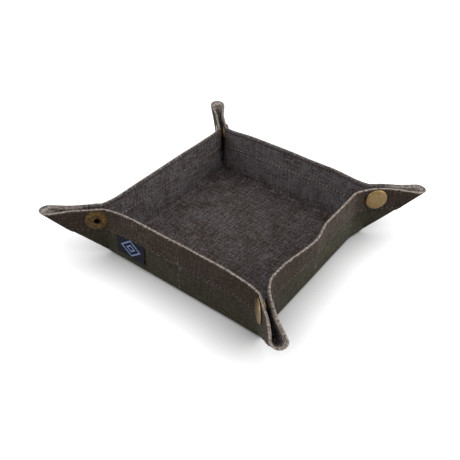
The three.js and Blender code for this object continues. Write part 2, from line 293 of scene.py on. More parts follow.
def end_of(along):
    """1 towards a wall's cap end and -1 towards its stud end."""
    return 1 if along > 0 else -1


def seat_middle(contour):
    """The middle of the flat stretch that a snap sits on."""
    return (contour.arm.end + contour.seat_end) / 2


def follow(x, y, heading, runs, distance):
    """Where a chain of straights and arcs leads after a distance. A left turn is positive."""
    left = distance
    for run in runs:
        step = min(left, run.length)
        if step <= 0:
            continue
        bend = run.turn * step / run.length
        chord = step if abs(bend) < TINY else 2 * step * math.sin(bend / 2) / bend
        x += chord * math.cos(heading + bend / 2)
        y += chord * math.sin(heading + bend / 2)
        heading += bend
        left -= step
    return x, y, heading


class FoldedSheet:
    """Where each point of the flat sheet lies once the tray is snapped up."""

    wall_cells = 104
    bend_cells = 14
    seat_cells = 6
    flare_cells = 10
    tip_cells = 8
    fold_rows = 12
    wall_rows = 26
    hem_rows = 13
    roll_rows = 8
    least_ear = 0.3
    sag_lowest = -0.1
    sag_to_stud = 0.5
    sag_to_cap = 0.3
    ridge_turn = math.radians(110)
    ridge_spread = math.radians(19)
    inside_wear = 0.32
    inside_fray = 3 * MM
    rim_wear = 0.36
    ridge_wear_and_highlight = 0.52
    hem_wear = 0.45
    hem_fray = 1.3 * MM
    foot_wear = 0.55
    ear_wear_and_light_inside = 0.75
    ear_wear_outside = 0.5

    def __init__(self, sheet, trim):
        self.sheet = sheet
        self.press_reach = trim.press_reach
        self.press_fade = trim.press_fade
        self.rim = sheet.side / 2
        self.fold_start = sheet.base / 2 - sheet.fold_room
        self.fold_end = self.fold_start + sheet.fold_room * QUARTER
        self.rim_rise = sheet.fold_room + self.rim - self.fold_end
        self.layer = sheet.cloth + sheet.layer_gap
        self.inside = self.layer / 2
        self.outside = -self.layer / 2
        self.hem = self.outside - self.layer
        self.inner_face = self.inside + sheet.cloth / 2
        self.hem_face = self.hem - sheet.cloth / 2
        self.mid_height = sheet.cloth / 2 - self.outside
        self.roll_start = self.rim - self.layer - sheet.cloth / 2
        self.roll_end = self.roll_start + self.layer * math.pi
        self.hem_edge = self.rim - sheet.hem
        self.hem_seam = self.hem_edge + trim.hem_seam
        self.edge_seam = self.rim - trim.edge_seam
        self.snap_out = self.rim - sheet.hem / 2
        self.bends = {}
        for turn in range(4):
            self.bends[turn, 1] = self.bend(sheet.cap_sweeps[turn])
            self.bends[turn, -1] = self.bend(sheet.stud_sweeps[turn])
        self.hinge = sheet.base / 2 - math.sqrt(2) * sheet.hinge_gap
        self.hangs = [Vector(getattr(sheet, "hang_" + corner)) for corner in CORNERS]
        self.turns = [Matrix.Rotation(turn * QUARTER, 3, "Z") for turn in range(4)]
        self.contours = {}
        self.snaps = {
            (turn, side): self.snap_frame(turn, side, trim.snap_reach)
            for turn in range(4)
            for side in (-1, 1)
        }

    def bend(self, sweep):
        """How a wall's end bends: its runs, their length, and how far they lead aside and ahead."""
        tight = math.pi / 4 - sweep
        runs = (Run(self.sheet.sweep_radius * sweep, -sweep), Run(self.sheet.bend_radius * tight, -tight))
        whole = sum(run.length for run in runs)
        aside, ahead, _ = follow(0, 0, QUARTER, runs, whole)
        return Bend(runs, whole, aside, ahead)

    def crease(self, out):
        """How far out, how high and how steep the sheet is, where it creases up out of the base."""
        sheet = self.sheet
        if out >= self.fold_end:
            return sheet.base / 2, sheet.fold_room + out - self.fold_end, QUARTER
        straight = sheet.fold_room - sheet.fold_radius
        arc = sheet.fold_radius * QUARTER
        path = 2 * straight + arc
        walked = max(out - self.fold_start, 0) * path / (self.fold_end - self.fold_start)
        tilt = clamp((walked - straight) / sheet.fold_radius, 0, QUARTER)
        climbed = max(walked - straight - arc, 0)
        wall = min(out, self.fold_start) + min(walked, straight) + sheet.fold_radius * math.sin(tilt)
        return wall, sheet.fold_radius * (1 - math.cos(tilt)) + climbed, tilt

    def contour(self, out, turn=0, side=1):
        """The square contour that far out: one half wall, from its middle to the ear's tip."""
        key = (out, turn % 4, side)
        if key not in self.contours:
            self.contours[key] = self.trace(*key)
        return self.contours[key]

    def corner(self, turn, side):
        """The number of the ear at a wall's end."""
        return (turn if side > 0 else turn - 1) % 4

    def gap(self, out, wall):
        """From an ear's middle to its cloth, which closes towards the base."""
        slack = out - min(out, wall)
        return self.sheet.half_gap * math.tanh(self.sheet.gap_settle * slack / self.sheet.half_gap)

    def arm(self, out, wall, turn, side):
        """A wall's end there: its bend's share of full size, its start, its end and that end's diagonal."""
        bend = self.bends[turn % 4, side]
        setback = bend.ahead - bend.aside
        slack = out - min(out, wall)
        size = math.tanh(self.sheet.bend_settle * slack / (bend.length - setback))
        start = wall - math.sqrt(2) * self.gap(out, wall) - size * setback
        diagonal = (wall + start + size * (bend.aside + bend.ahead)) / math.sqrt(2)
        return Arm(size, start, start + size * bend.length, diagonal)

    def trace(self, out, turn, side):
        """Traces a contour. An ear's halves end on one line, so each takes up half their difference."""
        sheet = self.sheet
        wall, rise, tilt = self.crease(out)
        half_gap = self.gap(out, wall)
        arm = self.arm(out, wall, turn, side)
        other = self.arm(out, wall, turn + side, -side)
        flat_ear = max(out - arm.end, TINY)
        shared = (other.diagonal - other.end - arm.diagonal + arm.end) / 2
        ear = max(flat_ear + shared, self.least_ear * flat_ear)
        stretch = ear / flat_ear
        hairpin = half_gap * QUARTER
        seat = clamp(ear - hairpin, 0, sheet.seat)
        spare = max(ear - seat - hairpin, 0)
        flare = sheet.flares[self.corner(turn, side)] * min(spare / sheet.flare_reach, 1)
        tip_gap = half_gap + sheet.flare_radius * (1 - math.cos(flare))
        rest = ear - seat - sheet.flare_radius * flare
        tip_turn = QUARTER + flare
        tip_radius = (rest * math.sin(flare) + tip_gap) / (math.cos(flare) + tip_turn * math.sin(flare))
        tip_length = tip_radius * tip_turn
        runs = (
            Run(arm.start, 0),
            *(Run(run.length * arm.size, run.turn) for run in self.bends[turn, side].runs),
            Run(seat, 0),
            Run(sheet.flare_radius * flare, -flare),
            Run(rest - tip_length, 0),
            Run(tip_length, tip_turn),
        )
        split = clamp(self.hinge, arm.start, arm.end)
        seat_end = arm.end + seat / stretch
        return Contour(wall, rise, tilt, runs, arm, stretch, split, seat_end, out - tip_length / stretch)

    def flat(self, turn, out, along):
        """A point of the sheet laid flat."""
        return self.turns[turn % 4] @ Vector((out, along, 0))

    def stray(self, turn, out, along, rise):
        """How far the canvas strays from its smooth shape there."""
        spot = self.flat(turn, out, along) / self.sheet.ripple_size
        return self.sheet.ripple * noise.noise(spot) * min(rise / self.sheet.fold_room, 1)

    def roughness(self, turn, row, along):
        """How far a worn edge strays there."""
        spot = self.flat(turn, row.flat, along) / self.sheet.fuzz_size
        return self.sheet.fuzz * row.wear * noise.noise(spot)

    def sag(self, reach):
        """A rim's sag along its wall, gentle towards the stud end and steep at the old middle crease."""
        if reach < self.sag_lowest:
            return ease(1 - (self.sag_lowest - reach) / self.sag_to_stud)
        return ease(1 - (reach - self.sag_lowest) / self.sag_to_cap)

    def smooth_point(self, turn, out, along, offset):
        """A point of the folded sheet, off its middle surface towards the inside by an offset."""
        side = end_of(along)
        contour = self.contour(out, turn, side)
        distance = abs(along)
        past_bend = max(distance - contour.arm.end, 0)
        walked = distance + past_bend * (contour.stretch - 1)
        x, y, heading = follow(contour.wall, 0, QUARTER, contour.runs, walked)
        height = contour.rise / self.rim_rise
        reach = distance / contour.arm.end
        foot = self.sheet.feet[turn % 4] * ease((out - self.fold_start) / self.sheet.fold_room)
        lean = foot * (1 - height) + self.sheet.leans[turn % 4] * height
        lean -= self.sheet.sags[turn % 4] * height * self.sag(reach * side)
        straight = self.sheet.straights[turn % 4]
        middle = 1 - ease((reach - straight) / (1 - straight))
        rise = contour.rise + self.sheet.rises[turn % 4] * height * middle
        inward = (offset + self.stray(turn, out, along, contour.rise)) * math.sin(contour.tilt)
        spot = Vector((
            x - lean * middle - inward * math.sin(heading),
            (y + inward * math.cos(heading)) * side,
            self.mid_height + rise + offset * math.cos(contour.tilt),
        ))
        spot = self.turns[turn % 4] @ spot
        ear = past_bend / max(out - contour.arm.end, TINY)
        return spot + self.hangs[self.corner(turn, side)] * height * ease(ear)

    def point(self, turn, out, along, offset):
        """The same, with the canvas pressed flat under each snap, whatever bend it sits on."""
        spot = self.smooth_point(turn, out, along, offset)
        place = self.snaps[turn % 4, end_of(along)]
        local = place.inverted() @ spot
        away = math.hypot(local.x, local.y) - self.press_reach
        local.z += (-offset - local.z) * (1 - ease(away / self.press_fade))
        return place @ local

    def outs(self):
        """Rows up a wall, from the base to the start of the rim's roll."""
        fold = spaced(self.fold_start, self.fold_end, self.fold_rows)
        return [*fold, *spaced(self.fold_end, self.roll_start, self.wall_rows), self.roll_start]

    def lining_rows(self):
        """Up the inside, over the rim and down the outside as the hem, worn pale along the rim, with a
        painted highlight on the rim's outer shoulder.
        """
        pale_reach = self.inside_fray
        rows = [
            Row(out, self.inside, out, self.inside_wear * clamp((out - self.rim + pale_reach) / pale_reach, 0, 1) ** 2)
            for out in self.outs()
        ]
        for step in range(1, self.roll_rows):
            turn = math.pi * step / self.roll_rows
            # Painted highlight: the pale band peaks past the rim's top, towards the outside, on top of the
            # rim's wear.
            ridge = math.exp(-((turn - self.ridge_turn) / self.ridge_spread) ** 2)
            rows.append(Row(
                self.roll_start + self.layer * math.sin(turn),
                self.outside + self.layer * math.cos(turn),
                self.roll_start + self.layer * turn,
                self.rim_wear + self.ridge_wear_and_highlight * ridge,
            ))
        for out in [*spaced(self.roll_start, self.hem_edge, self.hem_rows), self.hem_edge]:
            down = self.roll_start - out
            edge = clamp(1 - (out - self.hem_edge) / self.hem_fray, 0, 1)
            wear = max(self.rim_wear * math.exp(-down / MM), self.hem_wear * edge)
            rows.append(Row(out, self.hem, self.roll_end + down, wear))
        return rows

    def outer_rows(self):
        """The outer canvas, which ends inside the rolled rim and is rubbed along its foot."""
        return [
            Row(out, self.outside, out, self.foot_wear * math.sin(2 * self.contour(out).tilt) ** 2)
            for out in self.outs()
        ]

    def bend_from(self, turn, out):
        """Where a wall's piece ends: short of the hinge, except in the fold at its foot."""
        start = self.contour(out, turn, 1).arm.start
        return start if out <= self.fold_end else min(start, self.hinge - self.sheet.hinge_reach)

    def wall_stations(self, turn, out):
        """Along a wall, from the split in its stud end's bend to where its cap end starts to bend."""
        stud = self.contour(out, turn, -1)
        end = self.bend_from(turn, out)
        along = spaced(-stud.split, -stud.arm.start, self.bend_cells)
        along += [*spaced(-stud.arm.start, end, self.wall_cells), end]
        return [Station(0, a) for a in along]

    def bend_stations(self, turn, out):
        """Round a wall's cap end, to the middle of the snap's seat."""
        at = self.contour(out, turn, 1)
        middle = seat_middle(at)
        along = spaced(self.bend_from(turn, out), at.arm.end, self.bend_cells)
        along += [*spaced(at.arm.end, middle, self.seat_cells), middle]
        return [Station(0, a) for a in along]

    def loop_stations(self, turn, out):
        """From the middle of the snap's seat round the ear's tip and back to the next wall."""
        cap = self.contour(out, turn, 1)
        middle = seat_middle(cap)
        there = [
            *spaced(middle, cap.seat_end, self.seat_cells),
            *spaced(cap.seat_end, cap.tip, self.flare_cells),
            *spaced(cap.tip, out, self.tip_cells),
        ]
        stud = self.contour(out, turn + 1, -1)
        back = [
            *spaced(stud.split, stud.arm.end, self.bend_cells),
            *spaced(stud.arm.end, stud.seat_end, 2 * self.seat_cells),
            *spaced(stud.seat_end, stud.tip, self.flare_cells),
            *spaced(stud.tip, out, self.tip_cells),
        ]
        return [Station(0, a) for a in [*there, out]] + [Station(1, -a) for a in reversed(back)]

    def wear(self, turn, row, along):
        """How worn and pale the canvas is there: along the rim, with its painted highlight, and further
        down inside the ears, where the paleness is partly wear and partly painted light.
        """
        contour = self.contour(row.out, turn, end_of(along))
        ear = ease((abs(along) - contour.arm.end) / self.sheet.seat)
        below = max(self.roll_start - row.out, 0) / self.sheet.pale_reach
        # Painted light: inside an ear the lining is made paler to stand for light falling into the loop, on
        # top of its wear.
        ear_pale = self.ear_wear_and_light_inside if row.offset >= self.inside else self.ear_wear_outside
        return max(row.wear, ear_pale * ear * math.exp(-below)) if row.offset > self.hem else row.wear

    def fade_and_shading(self, turn, row, along):
        """How far the wax is rubbed off there, which also paints shading: less at a wall's foot, and none
        outside on its ears, which keeps them darker as painted shade.
        """
        contour = self.contour(row.out, turn, end_of(along))
        sheet = self.sheet
        above = ease(contour.rise / (2 * sheet.fold_room))
        if row.offset > 0:
            return sheet.base_fade_and_shading + (sheet.inside_fades_and_shading[turn % 4] - sheet.base_fade_and_shading) * above
        bent = sheet.seat + contour.arm.end - contour.arm.start
        ear = ease((abs(along) + sheet.seat - contour.arm.start) / bent)
        toward_cap = ease(0.5 + 0.5 * along / self.hinge)
        stud_fade = sheet.stud_fades_and_shading[turn % 4]
        return (stud_fade + (sheet.cap_fades_and_shading[turn % 4] - stud_fade) * toward_cap) * above * (1 - ear)

    def snap_frame(self, turn, side, reach):
        """Where a snap sits on the middle surface, with +Z out of the ear."""
        contour = self.contour(self.snap_out, turn, side)
        along = side * (contour.arm.end + (reach - contour.arm.diagonal) / contour.stretch)
        spot = self.smooth_point(turn, self.snap_out, along, 0)
        outward = self.smooth_point(turn, self.snap_out, along, -MM) - spot
        return Matrix.Translation(spot) @ outward.to_track_quat("Z", "Y").to_matrix().to_4x4()


# Finishes


class Nodes:
    """A node tree, with short ways to add and join nodes."""

    def __init__(self, tree):
        self.tree = tree

    def add(self, kind, **settings):
        node = self.tree.nodes.new(kind)
        for name, value in settings.items():
            setattr(node, name, value)
        return node

    def feed(self, socket, value):
        if isinstance(value, bpy.types.NodeSocket):
            self.tree.links.new(value, socket)
        else:
            socket.default_value = value

    def math(self, operation, *values):
        node = self.add("ShaderNodeMath", operation=operation)
        for socket, value in zip(node.inputs, values):
            self.feed(socket, value)
        return node.outputs[0]

    def plus(self, value, other, weight):
        """A value and a weighted other one."""
        return self.math("ADD", value, self.math("MULTIPLY", other, weight))

    def apart(self, first, second):
        """How far two values are apart."""
        return self.math("ABSOLUTE", self.math("SUBTRACT", first, second))

    def stretched(self, vector, scale):
        node = self.add("ShaderNodeVectorMath", operation="MULTIPLY")
        self.feed(node.inputs[0], vector)
        self.feed(node.inputs[1], scale)
        return node.outputs[0]

    def noise(self, vector, scale, detail=3.0, roughness=0.55, distortion=0.0):
        node = self.add("ShaderNodeTexNoise")
        self.feed(node.inputs["Vector"], vector)
        self.feed(node.inputs["Scale"], scale)
        self.feed(node.inputs["Detail"], detail)
        self.feed(node.inputs["Roughness"], roughness)
        self.feed(node.inputs["Distortion"], distortion)
        return node.outputs["Fac"]

    def ramp(self, value, low, high, start=0.0, end=1.0):
        node = self.add("ShaderNodeMapRange", interpolation_type="SMOOTHSTEP")
        for name, given in (
            ("Value", value), ("From Min", low), ("From Max", high), ("To Min", start), ("To Max", end)
        ):
            self.feed(node.inputs[name], given)
        return node.outputs["Result"]

    def mix(self, factor, first, second, blend="MIX"):
        node = self.add("ShaderNodeMix", data_type="RGBA", blend_type=blend)
        self.feed(node.inputs["Factor"], factor)
        self.feed(node.inputs["A"], rgba(first))
        self.feed(node.inputs["B"], rgba(second))
        return node.outputs["Result"]

    def bump(self, height, distance, strength=1.0):
        node = self.add("ShaderNodeBump")
        self.feed(node.inputs["Height"], height)
        self.feed(node.inputs["Distance"], distance)
        self.feed(node.inputs["Strength"], strength)
        return node.outputs["Normal"]

    def uv(self, name):
        return self.add("ShaderNodeUVMap", uv_map=name).outputs["UV"]

    def position(self):
        return self.add("ShaderNodeTexCoord").outputs["Object"]

    def attribute(self, name):
        return self.add("ShaderNodeAttribute", attribute_name=name).outputs["Fac"]

    def split(self, vector):
        node = self.add("ShaderNodeSeparateXYZ")
        self.feed(node.inputs[0], vector)
        return node.outputs[0], node.outputs[1]

    def seen_ray(self):
        """One for a ray that comes from the camera, a mirror or glass."""
        path = self.add("ShaderNodeLightPath").outputs
        seen = self.math("MAXIMUM", path["Is Camera Ray"], path["Is Glossy Ray"])
        return self.math("MAXIMUM", seen, path["Is Transmission Ray"])


class Finish(Nodes):
    """A new material and its nodes."""

    def __init__(self, name):
        self.material = bpy.data.materials.new(name)
        self.material.use_nodes = True
        super().__init__(self.material.node_tree)
        self.tree.nodes.clear()
        self.output = self.add("ShaderNodeOutputMaterial")

    def principled(self, sockets):
        shader = self.add("ShaderNodeBsdfPrincipled")
        for name, value in sockets.items():
            self.feed(shader.inputs[name], value)
        self.feed(self.output.inputs["Surface"], shader.outputs[0])


def rgba(value):
    return value if isinstance(value, bpy.types.NodeSocket) else (*value, 1.0)


def darker(tone, share_left):
    return [share_left * channel for channel in tone]


def canvas_finish(name, dyed, faded_inside, faded_outside, finish, shape, seams):
    """Waxed canvas: a plain weave with slubs, cloudy wax, rubbed edges, sewn grooves and old creases, with
    painted shade along given lines and painted shading carried in its fading.
    """
    nodes = Finish(name)
    sheet = nodes.uv("sheet")
    x, y = nodes.split(sheet)
    out = nodes.math("MAXIMUM", nodes.math("ABSOLUTE", x), nodes.math("ABSOLUTE", y))
    weave_scale = math.pi / finish.yarn
    warp = nodes.math("SINE", nodes.math("MULTIPLY", x, weave_scale))
    weft = nodes.math("SINE", nodes.math("MULTIPLY", y, weave_scale))
    weave = nodes.math("MULTIPLY", warp, weft)
    slub_width = 1.7 * finish.yarn
    slub_run = 90
    slub_warp = nodes.noise(nodes.stretched(sheet, (1 / slub_width, slub_run, 1)), scale=1.0, detail=2.0)
    slub_weft = nodes.noise(nodes.stretched(sheet, (slub_run, 1 / slub_width, 1)), scale=1.0, detail=2.0)
    slub = nodes.math("ADD", slub_warp, slub_weft)
    speckle = nodes.noise(sheet, scale=650.0, detail=4.0, roughness=0.68)
    clouds = nodes.noise(sheet, scale=60.0, detail=5.0, roughness=0.62, distortion=0.6)
    grain = nodes.plus(nodes.math("MULTIPLY", slub, 0.5), weave, 0.07)
    fibre = nodes.math("MULTIPLY", nodes.math("ADD", grain, speckle), 0.5)
    cloth = nodes.mix(nodes.ramp(fibre, 0.4, 0.6), darker(dyed, 0.45), dyed)
    rubbed = nodes.plus(nodes.math("MULTIPLY", clouds, 0.2), fibre, 0.8)
    # The fading attribute carries painted shading as well as wax worn away.
    rubbed = nodes.plus(rubbed, nodes.attribute("fade_and_shading"), 0.13)
    faded = nodes.mix(nodes.attribute("inner"), faded_outside, faded_inside)
    cloth = nodes.mix(nodes.ramp(rubbed, 0.53, 0.75), cloth, faded)
    line_shade_and_dent = line_shade_mask(nodes, out, seams)
    # Painted shade: darker along the sunk stitch lines, and on the outer canvas under the hem's edge.
    cloth = nodes.mix(line_shade_and_dent, cloth, darker(dyed, 0.3))
    patchy = nodes.plus(nodes.attribute("wear"), nodes.math("SUBTRACT", speckle, 0.5), 1.5)
    wear = nodes.ramp(patchy, 0.25, 1.05)
    pale = nodes.math("MAXIMUM", wear, crease_mask(nodes, x, y, sheet, shape.fold_start))
    height = nodes.plus(nodes.plus(fibre, weave, 0.12), clouds, 1.5)
    height = nodes.math("SUBTRACT", height, nodes.math("MULTIPLY", line_shade_and_dent, 0.8))
    nodes.principled({
        "Base Color": nodes.mix(pale, cloth, finish.worn),
        "Roughness": nodes.ramp(clouds, 0.3, 0.7, 0.66, 0.88),
        "Specular IOR Level": 0.08,
        "Sheen Weight": 0.02,
        "Sheen Roughness": 0.5,
        "Normal": nodes.bump(height, 0.35 * MM),
    })
    return nodes.material


def line_shade_mask(nodes, out, seams):
    """A mask of the lines that get painted shade: the sunk lines that rows of stitches lie in, and the line
    under the hem's edge.
    """
    core = 0.3 * MM
    edge = 0.9 * MM
    dirt_and_shade = 0.75
    lines = [nodes.ramp(nodes.apart(out, seam), core, edge, dirt_and_shade, 0.0) for seam in seams]
    mask = lines[0]
    for line in lines[1:]:
        mask = nodes.math("MAXIMUM", mask, line)
    return mask


def crease_mask(nodes, x, y, sheet, walls_from):
    """Broken pale lines where the sheet was once folded in four, on the walls only."""
    width = 0.9 * MM
    paleness = 0.3
    fade_in = 12 * MM
    drift = nodes.math("SUBTRACT", nodes.noise(sheet, scale=90.0), 0.5)
    waver = nodes.math("MULTIPLY", drift, 5 * MM)
    broken = nodes.ramp(nodes.noise(sheet, scale=260.0, detail=2.0), 0.42, 0.68)
    lines = []
    for across, out in ((x, y), (y, x)):
        off = nodes.math("ABSOLUTE", nodes.math("ADD", across, waver))
        line = nodes.ramp(off, 0.0, width, paleness, 0.0)
        outside = nodes.ramp(nodes.math("ABSOLUTE", out), walls_from, walls_from + fade_in)
        lines.append(nodes.math("MULTIPLY", line, outside))
    return nodes.math("MULTIPLY", nodes.math("MAXIMUM", *lines), broken)


def brass_finish(name, metal, finish, dulling):
    """Antique brass: mottled patina over a brushed, slightly pitted metal."""
    nodes = Finish(name)
    spot = nodes.position()
    mottle = nodes.noise(spot, scale=520.0, detail=5.0, roughness=0.7, distortion=0.6)
    pits = nodes.noise(spot, scale=1900.0, roughness=0.6)
    tarnish = nodes.ramp(nodes.plus(mottle, pits, 0.6), 0.7, 0.9)
    tone = nodes.mix(nodes.math("MULTIPLY", tarnish, dulling), metal, finish.patina)
    nodes.principled({
        "Base Color": tone,
        "Metallic": 1.0,
        "Roughness": nodes.ramp(mottle, 0.3, 0.7, 0.28, 0.5),
        "Normal": nodes.bump(nodes.math("ADD", mottle, pits), 0.05 * MM),
    })
    return nodes.material


def thread_finish(name, dyed):
    """Waxed sewing thread with a fine twist."""
    nodes = Finish(name)
    spot = nodes.position()
    twist = nodes.noise(nodes.stretched(spot, (1.0, 1.0, 1.6)), scale=2600.0, detail=2.0)
    dirt_and_shade = nodes.noise(spot, scale=60.0, detail=4.0)
    clean = nodes.ramp(nodes.math("ADD", twist, dirt_and_shade), 0.75, 1.15)
    nodes.principled({
        "Base Color": nodes.mix(clean, darker(dyed, 0.4), dyed),
        "Roughness": 0.8,
        "Sheen Weight": 0.1,
        "Normal": nodes.bump(twist, 0.08 * MM),
    })
    return nodes.material


def label_finish(name, finish, trim):
    """A woven label: fine twill with two plain lozenges, one in the other, in a paler yarn."""
    nodes = Finish(name)
    x, y = nodes.split(nodes.uv("label"))
    rib_pitch = 0.45 * MM
    pick_pitch = 0.3 * MM
    rib = nodes.math("SINE", nodes.math("MULTIPLY", nodes.math("ADD", x, y), 2 * math.pi / rib_pitch))
    thread = nodes.math("SINE", nodes.math("MULTIPLY", y, 2 * math.pi / pick_pitch))
    aside = nodes.apart(x, trim.label_width / 2)
    above = nodes.apart(y, trim.label_height / 2)
    lozenge = nodes.math("ADD", nodes.math("MULTIPLY", aside, trim.lozenge_slope), above)
    line = trim.lozenge_line / 2
    marks = [
        nodes.ramp(nodes.apart(lozenge, size), line, 1.6 * line, 1.0, 0.0)
        for size in (trim.lozenge_height / 2, trim.lozenge_height / 5)
    ]
    mark = nodes.math("MAXIMUM", *marks)
    ground = nodes.mix(nodes.ramp(rib, -1.0, 1.0), darker(finish.label, 0.6), finish.label)
    yarn = nodes.mix(nodes.ramp(thread, -1.0, 1.0), darker(finish.label_mark, 0.6), finish.label_mark)
    nodes.principled({
        "Base Color": nodes.mix(mark, ground, yarn),
        "Roughness": 0.85,
        "Specular IOR Level": 0.2,
        "Normal": nodes.bump(nodes.math("ADD", nodes.math("ADD", rib, thread), mark), 0.04 * MM),
    })
    return nodes.material


def floor_finish(name, finish, stage):
    """A pale matt floor that shows as white to the eye and keeps the tray's soft shadow from the lamps,
    darkened further close to the tray by painted shade from an ambient occlusion node.
    """
    nodes = Finish(name)
    seen = nodes.seen_ray()
    # Painted shade: ambient occlusion darkens the floor, and its glow, close to the tray.
    corner = nodes.add("ShaderNodeAmbientOcclusion", samples=16)
    nodes.feed(corner.inputs["Distance"], stage.contact_reach)
    contact_shade = nodes.math("POWER", corner.outputs["AO"], stage.contact_depth)
    shaded = nodes.mix(contact_shade, (0.0, 0.0, 0.0), finish.floor)
    paint = nodes.add("ShaderNodeBsdfDiffuse")
    nodes.feed(paint.inputs["Color"], nodes.mix(seen, finish.floor_bounce, shaded))
    glow = nodes.add("ShaderNodeEmission")
    away = nodes.add("ShaderNodeVectorMath", operation="LENGTH")
    nodes.feed(away.inputs[0], nodes.position())
    level = nodes.ramp(away.outputs["Value"], stage.glow_from, stage.glow_to, stage.floor_glow, 1.0)
    lift = nodes.math("MULTIPLY", nodes.math("MULTIPLY", seen, contact_shade), level)
    nodes.feed(glow.inputs["Strength"], lift)
    both = nodes.add("ShaderNodeAddShader")
    nodes.feed(both.inputs[0], paint.outputs[0])
    nodes.feed(both.inputs[1], glow.outputs[0])
    nodes.feed(nodes.output.inputs["Surface"], both.outputs[0])
    return nodes.material


# Making pieces

WELD = 0.02 * MM
SLIVER = 0.01 * MM
CLOTH_SHARP = math.radians(50)
BRASS_SHARP = math.radians(35)


def finished(name, mesh_edit, material, sharp=CLOTH_SHARP):
    """Closes a mesh edit into a smooth-shaded object at the origin."""
    bmesh.ops.remove_doubles(mesh_edit, verts=mesh_edit.verts, dist=WELD)
    bmesh.ops.dissolve_degenerate(mesh_edit, dist=SLIVER, edges=mesh_edit.edges)
    bmesh.ops.recalc_face_normals(mesh_edit, faces=mesh_edit.faces)
    mesh = bpy.data.meshes.new(name)
    mesh_edit.to_mesh(mesh)
    mesh_edit.free()
    if not mesh.polygons:
        raise RuntimeError(f"{name} has no faces")
    mesh.shade_smooth()
    mesh.set_sharp_from_angle(angle=sharp)
    mesh.materials.append(material)
    piece = bpy.data.objects.new(name, mesh)
    bpy.context.scene.collection.objects.link(piece)
    return piece


def unit_grid(across, up):
    """A flat grid whose vertices stand on whole numbers."""
    grid = bmesh.new()
    scale = Matrix.Diagonal((across, up, 1, 1)) @ Matrix.Translation((0.5, 0.5, 0))
    bmesh.ops.create_grid(grid, x_segments=across, y_segments=up, size=0.5, matrix=scale)
    return grid


def thicken(grid):
    """Gives a grid a second side, one unit above the first."""
    grown = bmesh.ops.extrude_face_region(grid, geom=grid.faces[:], use_keep_orig=True)
    upper = [item for item in grown["geom"] if isinstance(item, bmesh.types.BMVert)]
    bmesh.ops.translate(grid, verts=upper, vec=(0, 0, 1))


def canvas_piece(name, shape, turn, rows, stations, material, holes=()):
    """A panel of canvas, laid out as a grid, pierced and carried onto the folded sheet."""
    table = [stations(turn, row.out) for row in rows]
    grid = unit_grid(len(table[0]) - 1, len(rows) - 1)

    def seat(vert, offset):
        row = rows[round(vert.co.y)]
        station = table[round(vert.co.y)][round(vert.co.x)]
        rough = shape.roughness(turn + station.quarter, row, station.along)
        spot = shape.point(turn + station.quarter, row.out, station.along, row.offset + offset + rough)
        return spot + Vector((0, 0, rough))

    def pierced(face):
        centre = sum((seat(vert, 0) for vert in face.verts), Vector()) / len(face.verts)
        return any(((centre - at.translation).cross(at.col[2].xyz)).length < radius
                   and (centre - at.translation).length < 2 * radius for at, radius in holes)

    bmesh.ops.delete(grid, geom=[face for face in grid.faces if pierced(face)], context="FACES")
    thicken(grid)
    sheet = grid.loops.layers.uv.new("sheet")
    wear = grid.verts.layers.float.new("wear")
    fade_and_shading = grid.verts.layers.float.new("fade_and_shading")
    inner = grid.verts.layers.float.new("inner")
    for face in grid.faces:
        spots = [(round(loop.vert.co.y), round(loop.vert.co.x)) for loop in face.loops]
        quarter = max(table[row][column].quarter for row, column in spots)
        for loop, (row, column) in zip(face.loops, spots):
            station = table[row][column]
            along = station.along if station.quarter == quarter else -station.along
            loop[sheet].uv = shape.flat(turn + quarter, rows[row].flat, along).xy
    flat = flat_size(grid, sheet)
    half = shape.sheet.cloth / 2
    for vert in grid.verts:
        row = rows[round(vert.co.y)]
        station = table[round(vert.co.y)][round(vert.co.x)]
        vert[wear] = shape.wear(turn + station.quarter, row, station.along)
        vert[fade_and_shading] = shape.fade_and_shading(turn + station.quarter, row, station.along)
        vert[inner] = row.offset > 0
        vert.co = seat(vert, half if vert.co.z < 0.5 else -half)
    return finished(name, grid, material), flat


def flat_size(grid, sheet):
    """Width, length and area of a panel's cut, from one side of it."""
    points = []
    area = 0
    for face in grid.faces:
        if any(vert.co.z > 0.5 for vert in face.verts):
            continue
        corners = [loop[sheet].uv for loop in face.loops]
        area += abs(sum(a.cross(b) for a, b in zip(corners, corners[1:] + corners[:1]))) / 2
        points += corners
    width = max(p.x for p in points) - min(p.x for p in points)
    depth = max(p.y for p in points) - min(p.y for p in points)
    return width, depth, min(area, width * depth)


def stand_in(node):
    """Hides a CAD node, in whose place a piece shows."""
    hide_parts(node)


def turned_piece(name, profile, place, material, steps=40):
    """Spins a closed outline of radius and height into a ring or disc and sets it in place."""
    spun = bmesh.new()
    verts = [spun.verts.new((radius, 0, height)) for radius, height in profile]
    edges = [spun.edges.new(pair) for pair in zip(verts, verts[1:])]
    if profile[0][0] > TINY:
        edges.append(spun.edges.new((verts[-1], verts[0])))
    bmesh.ops.spin(
        spun, geom=verts + edges, cent=(0, 0, 0), axis=(0, 0, 1), angle=2 * math.pi, steps=steps,
        use_merge=True, use_duplicate=False,
    )
    bmesh.ops.transform(spun, matrix=place, verts=spun.verts)
    return finished(name, spun, material, BRASS_SHARP)


def wall_body(turn):
    return WALLS[turn % 4] + "_wall"


def across_fold(piece):
    """Bakes into its mesh the transform of a piece that spans the fold between the base and a wall."""
    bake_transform(piece)


def across_bend(shape, turn, piece):
    """Bakes into its mesh the transform of a piece at the end of a wall, where its cap flap starts."""
    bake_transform(piece)


def across_tip(shape, turn, piece):
    """Bakes into its mesh the transform of a piece round the tip of an ear, from its cap half to its stud
    half.
    """
    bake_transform(piece)


def settings(context):
    scene = context.scene
    return FoldedSheet(scene.tray_sheet, scene.tray_trim), scene.tray_trim, scene.tray_finish


def stocked(make, name, *given):
    """A finish by its name, made the first time that it is asked for."""
    return bpy.data.materials.get(name) or make(name, *given)


